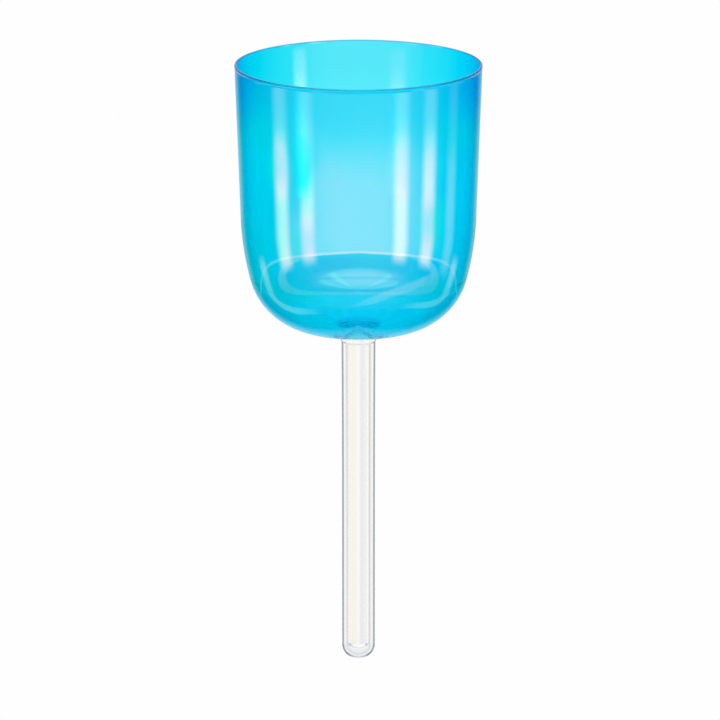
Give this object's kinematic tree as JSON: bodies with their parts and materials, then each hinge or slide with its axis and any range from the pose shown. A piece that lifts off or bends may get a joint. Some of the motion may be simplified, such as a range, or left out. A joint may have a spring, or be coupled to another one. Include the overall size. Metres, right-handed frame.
{
  "type": "hand-held glass bell",
  "caption": "Tall coated glass bell, open mouth upward, welded to a clear closed-tube handle; it is held by the handle and rung by tapping or rubbing the rim.",
  "frame": {"origin": "lowest point of the handle's rounded end, on the axis", "axes": "+Z along the axis from the handle to the open rim; X and Y are alike because the bell is round"},
  "size_m": [0.178, 0.178, 0.445],
  "materials": {
    "coated_glass": "polished quartz with a thin pearly aqua coating",
    "clear_quartz": "polished colourless quartz"
  },
  "bodies": {
    "root": {"bowl": "coated_glass", "neck_weld": "clear_quartz", "handle_tube": "clear_quartz", "handle_end": "clear_quartz"}
  },
  "joints": []
}
